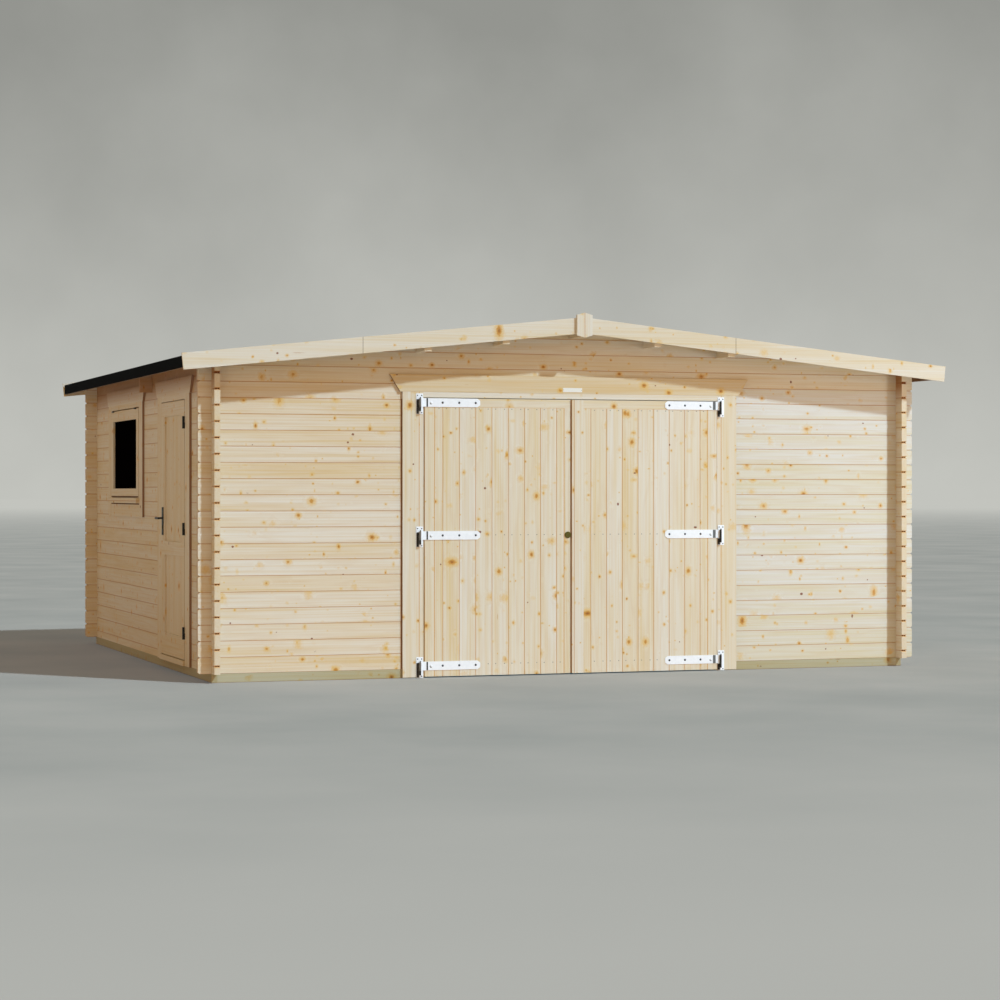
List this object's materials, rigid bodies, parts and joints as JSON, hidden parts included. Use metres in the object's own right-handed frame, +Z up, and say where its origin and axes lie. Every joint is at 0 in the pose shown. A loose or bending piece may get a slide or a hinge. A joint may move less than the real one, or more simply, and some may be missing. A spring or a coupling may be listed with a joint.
{
  "type": "wooden garage",
  "caption": "Log garage with a low gable roof, a double boarded door in the front, a side door and a window in the left wall.",
  "frame": {"origin": "on the ground, below the middle of the roof", "axes": "+X to the right seen from the front, +Y from the front to the back, +Z up"},
  "size_m": [6.224, 5.534, 2.7767],
  "materials": {
    "spruce_logs": "planed untreated spruce",
    "planed_trim": "planed untreated spruce",
    "door_boards": "planed untreated spruce",
    "roof_timber": "planed untreated spruce",
    "treated_sole_beam": "green pressure-treated timber",
    "roofing_felt": "mineral-faced bitumen felt",
    "galvanised_steel": "bright zinc",
    "black_hardware": "satin black paint",
    "brass_lock": "dull brass",
    "window_glass": "clear glass over a dark room"
  },
  "bodies": {
    "garage": {"front_sole": "treated_sole_beam", "back_sole": "treated_sole_beam", "left_sole": "treated_sole_beam", "right_sole": "treated_sole_beam", "front_wall_left": "spruce_logs", "front_wall_right": "spruce_logs", "front_gable": "spruce_logs", "back_wall": "spruce_logs", "right_wall": "spruce_logs", "left_wall_front": "spruce_logs", "left_wall_pier": "spruce_logs", "left_wall_under_window": "spruce_logs", "left_wall_rear": "spruce_logs", "left_wall_top": "spruce_logs", "tie_beam": "spruce_logs", "purlins": "roof_timber", "purlin_posts": "roof_timber", "roof_boards_left": "roof_timber", "roof_boards_right": "roof_timber", "roof_felt_left": "roofing_felt", "roof_felt_right": "roofing_felt", "eave_boards": "roof_timber", "barge_boards_left": "planed_trim", "barge_boards_right": "planed_trim", "apex_blocks": "planed_trim", "garage_posts": "planed_trim", "garage_head": "planed_trim", "garage_casings": "planed_trim", "garage_header_board": "planed_trim", "garage_hinge_plates": "galvanised_steel", "side_door_posts": "planed_trim", "side_door_head": "planed_trim", "side_door_casings": "planed_trim", "side_door_header_board": "planed_trim", "side_door_threshold": "planed_trim", "side_door_hinge_pins": "black_hardware", "window_frame": "planed_trim", "window_sash": "planed_trim", "window_glass": "window_glass", "window_sill": "planed_trim", "window_lower_casing": "planed_trim", "window_casings": "planed_trim", "window_header_board": "planed_trim", "window_hinges": "black_hardware"},
    "left_leaf": {"left_leaf_frame": "door_boards", "left_leaf_boards": "door_boards", "left_leaf_straps": "galvanised_steel", "left_leaf_lock": "brass_lock"},
    "right_leaf": {"right_leaf_frame": "door_boards", "right_leaf_boards": "door_boards", "right_leaf_straps": "galvanised_steel", "right_leaf_cover_strip": "door_boards"},
    "side_door": {"side_door_leaf": "door_boards", "side_door_hinge_sleeves": "black_hardware", "side_door_handle_plate": "black_hardware"},
    "side_lever": {"side_door_lever": "black_hardware"}
  },
  "joints": [
    {"name": "left_leaf_hinge", "type": "hinge", "parent": "garage", "child": "left_leaf", "pos_m": [-1.238, -2.535, 1], "axis": [0, 0, -1], "range_deg": [0, 170]},
    {"name": "right_leaf_hinge", "type": "hinge", "parent": "garage", "child": "right_leaf", "pos_m": [1.238, -2.535, 1], "axis": [0, 0, 1], "range_deg": [0, 170]},
    {"name": "side_door_hinge", "type": "hinge", "parent": "garage", "child": "side_door", "pos_m": [-2.87, -1.6145, 1], "axis": [0, 0, 1], "range_deg": [0, 120]},
    {"name": "side_lever_turn", "type": "hinge", "parent": "side_door", "child": "side_lever", "pos_m": [-2.89, -0.7725, 1.197], "axis": [1, 0, 0], "range_deg": [0, 40], "stiffness_Nm_per_rad": 0.8, "springref_deg": -28.65}
  ]
}
